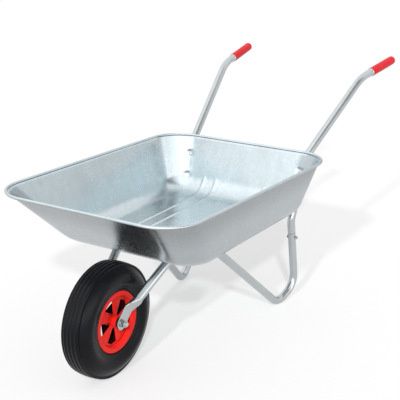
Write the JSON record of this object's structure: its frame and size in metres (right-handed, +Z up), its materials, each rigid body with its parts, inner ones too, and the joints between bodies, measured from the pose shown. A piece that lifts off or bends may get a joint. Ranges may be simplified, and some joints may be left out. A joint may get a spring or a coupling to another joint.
{
  "type": "wheelbarrow",
  "caption": "Garden wheelbarrow: a pressed metal tray on bent tubes with two feet, gripped handles and a front wheel with a pneumatic tyre.",
  "frame": {"origin": "on the ground, under the middle of the whole barrow", "axes": "+X forward to the wheel, +Y to the pusher's left, +Z up"},
  "size_m": [1.446, 0.6198, 0.7255],
  "materials": {
    "sheet": "galvanised, satin",
    "tube": "galvanised, satin",
    "bolt": "zinc plated",
    "rim": "moulded, glossy",
    "grip": "moulded, satin",
    "tyre": "matt",
    "inner_tube": "matt",
    "bush": "matt",
    "valve": "bright"
  },
  "bodies": {
    "frame": {"tray": "sheet", "left_handle_tube": "tube", "left_frame_tube": "tube", "left_grip": "grip", "left_upper_wall_bolt": "bolt", "left_upper_wall_nut": "bolt", "left_lower_wall_bolt": "bolt", "left_lower_wall_nut": "bolt", "left_rear_floor_bolt": "bolt", "left_rear_floor_nut": "bolt", "left_front_floor_bolt": "bolt", "left_front_floor_nut": "bolt", "left_leg_bolt": "bolt", "left_leg_nut": "bolt", "left_axle_washer": "bolt", "left_axle_spacer": "bolt", "right_handle_tube": "tube", "right_frame_tube": "tube", "right_grip": "grip", "right_upper_wall_bolt": "bolt", "right_upper_wall_nut": "bolt", "right_lower_wall_bolt": "bolt", "right_lower_wall_nut": "bolt", "right_rear_floor_bolt": "bolt", "right_rear_floor_nut": "bolt", "right_front_floor_bolt": "bolt", "right_front_floor_nut": "bolt", "right_leg_bolt": "bolt", "right_leg_nut": "bolt", "right_axle_washer": "bolt", "right_axle_spacer": "bolt", "axle_bolt": "bolt", "axle_nut": "bolt"},
    "wheel": {"wheel_rim": "rim", "tyre": "tyre", "inner_tube": "inner_tube", "valve_stem": "valve", "valve_cap": "bush", "left_wheel_bush": "bush", "right_wheel_bush": "bush"}
  },
  "joints": [
    {"name": "wheel_spin", "type": "hinge", "parent": "frame", "child": "wheel", "pos_m": [0.5605, 0, 0.1625], "axis": [0, 1, 0], "continuous": true}
  ]
}
